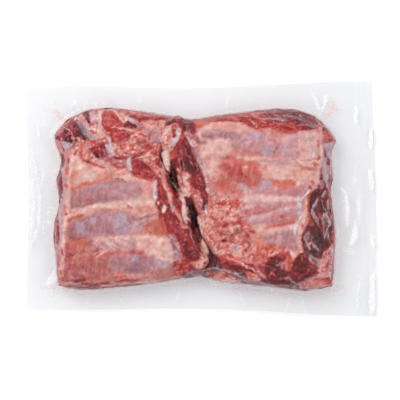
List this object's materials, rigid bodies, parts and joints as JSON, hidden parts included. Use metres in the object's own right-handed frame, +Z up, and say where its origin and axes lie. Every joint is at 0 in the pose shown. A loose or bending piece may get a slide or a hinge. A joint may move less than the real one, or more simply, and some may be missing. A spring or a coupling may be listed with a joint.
{
  "type": "vacuum-packed raw pork ribs",
  "caption": "Raw pork rib slabs laid side by side, bone side up, sealed tight in a clear flat bag with a wide film border.",
  "frame": {"origin": "centre of the bag's box seen from above, at the height of the surface that it lies on", "axes": "+X along the bag, across the ribs' ends and towards the wide heat seal; +Y across the bag; +Z up, out of the bone side"},
  "size_m": [0.3, 0.2008, 0.0292],
  "materials": {
    "packed_meat": "glossy clear film drawn tight over pink raw meat, cream fat and dark red muscle"
  },
  "bodies": {
    "root": {"sealed_bag": "packed_meat"}
  },
  "joints": []
}
